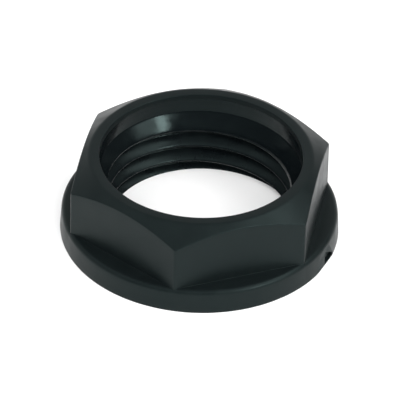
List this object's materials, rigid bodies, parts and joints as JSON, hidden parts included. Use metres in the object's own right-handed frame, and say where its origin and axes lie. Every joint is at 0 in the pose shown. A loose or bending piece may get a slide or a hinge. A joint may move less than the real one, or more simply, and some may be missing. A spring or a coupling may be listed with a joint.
{
  "type": "flanged hex locknut",
  "caption": "Moulded hexagon locknut with a round flange at its foot, a coned top and an inside thread, for clamping a cable gland to a panel.",
  "frame": {"origin": "centre of the flat bearing face under the flange", "axes": "+Z along the thread axis towards the coned end, +X through the middle of a hexagon flat, +Y through a hexagon corner"},
  "size_m": [0.0224, 0.0224, 0.0072],
  "materials": {
    "black_nylon": "satin moulded black nylon with a very slight green cast, smoother and glossier on the lead-in cone and thread crests"
  },
  "bodies": {
    "root": {"locknut": "black_nylon"}
  },
  "joints": []
}
